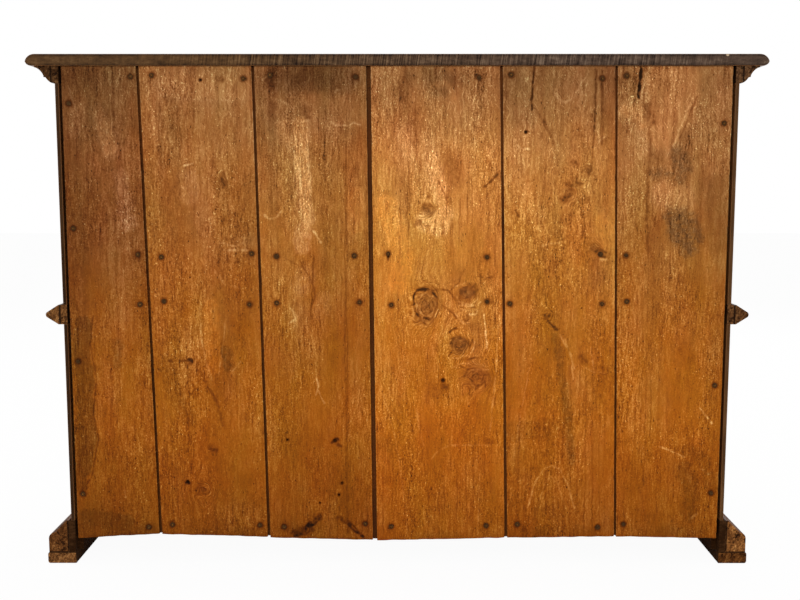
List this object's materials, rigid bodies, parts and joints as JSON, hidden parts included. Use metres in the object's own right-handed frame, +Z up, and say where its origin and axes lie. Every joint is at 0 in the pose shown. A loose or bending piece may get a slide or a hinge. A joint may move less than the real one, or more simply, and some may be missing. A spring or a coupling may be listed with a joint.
{
  "type": "credenza",
  "caption": "Antique walnut credenza with panelled doors above and below a row of shallow drawers, moulded top, waist and base, and a nailed board back.",
  "frame": {"origin": "on the floor, under the middle of the top", "axes": "+X to the right seen from the front, +Y to the back, +Z up"},
  "size_m": [1.558, 0.528, 1.105],
  "materials": {
    "walnut": "waxed, worn",
    "back_wood": "bare, aged",
    "inner_wood": "bare",
    "iron": "rusted",
    "brass": "aged"
  },
  "bodies": {
    "case": {"top_board": "walnut", "cornice_mouldings": "walnut", "waist_mouldings": "walnut", "base_moulding_front": "walnut", "base_moulding_left": "walnut", "base_moulding_right": "walnut", "base_runners": "walnut", "side_rails_left": "walnut", "side_rails_right": "walnut", "side_panels_left": "walnut", "side_panels_right": "walnut", "front_post_left": "walnut", "front_post_right": "walnut", "top_front_rail": "walnut", "drawer_front_rail": "walnut", "waist_front_rail": "walnut", "bottom_front_rail": "walnut", "centre_stiles": "walnut", "rear_posts": "inner_wood", "back_top_rail": "inner_wood", "bottom_board": "inner_wood", "waist_deck": "inner_wood", "drawer_deck": "inner_wood", "drawer_guides": "inner_wood", "back_board_1": "back_wood", "back_board_2": "back_wood", "back_board_3": "back_wood", "back_board_4": "back_wood", "back_board_5": "back_wood", "back_board_6": "back_wood", "back_nails": "iron", "hinge_frame_leaves": "iron"},
    "upper_door_left": {"upper_door_frame_left": "walnut", "upper_door_panel_left": "walnut", "upper_door_bead_left": "walnut", "upper_door_knob_left": "brass", "upper_door_hinge_leaves_left": "iron"},
    "upper_door_right": {"upper_door_frame_right": "walnut", "upper_door_panel_right": "walnut", "upper_door_bead_right": "walnut", "upper_door_knob_right": "brass", "upper_door_hinge_leaves_right": "iron"},
    "lower_door_left": {"lower_door_frame_left": "walnut", "lower_door_panel_left": "walnut", "lower_door_bead_left": "walnut", "lower_door_knob_left": "brass", "lower_door_hinge_leaves_left": "iron"},
    "lower_door_right": {"lower_door_frame_right": "walnut", "lower_door_panel_right": "walnut", "lower_door_bead_right": "walnut", "lower_door_knob_right": "brass", "lower_door_hinge_leaves_right": "iron"},
    "drawer_left": {"drawer_front_left": "walnut", "drawer_box_left": "inner_wood", "drawer_base_left": "inner_wood", "drawer_knobs_left": "brass"},
    "drawer_right": {"drawer_front_right": "walnut", "drawer_box_right": "inner_wood", "drawer_base_right": "inner_wood", "drawer_knobs_right": "brass"}
  },
  "joints": [
    {"name": "upper_door_left_swing", "type": "hinge", "parent": "case", "child": "upper_door_left", "pos_m": [-0.6385, -0.2148, 0.8675], "axis": [0, 0, -1], "range_deg": [0, 110]},
    {"name": "upper_door_right_swing", "type": "hinge", "parent": "case", "child": "upper_door_right", "pos_m": [0.6385, -0.2148, 0.8675], "axis": [0, 0, 1], "range_deg": [0, 110]},
    {"name": "lower_door_left_swing", "type": "hinge", "parent": "case", "child": "lower_door_left", "pos_m": [-0.6385, -0.2148, 0.316], "axis": [0, 0, -1], "range_deg": [0, 110]},
    {"name": "lower_door_right_swing", "type": "hinge", "parent": "case", "child": "lower_door_right", "pos_m": [0.6385, -0.2148, 0.316], "axis": [0, 0, 1], "range_deg": [0, 110]},
    {"name": "drawer_left_slide", "type": "slide", "parent": "case", "child": "drawer_left", "axis": [0, -1, 0], "range_m": [0, 0.28]},
    {"name": "drawer_right_slide", "type": "slide", "parent": "case", "child": "drawer_right", "axis": [0, -1, 0], "range_m": [0, 0.28]}
  ]
}
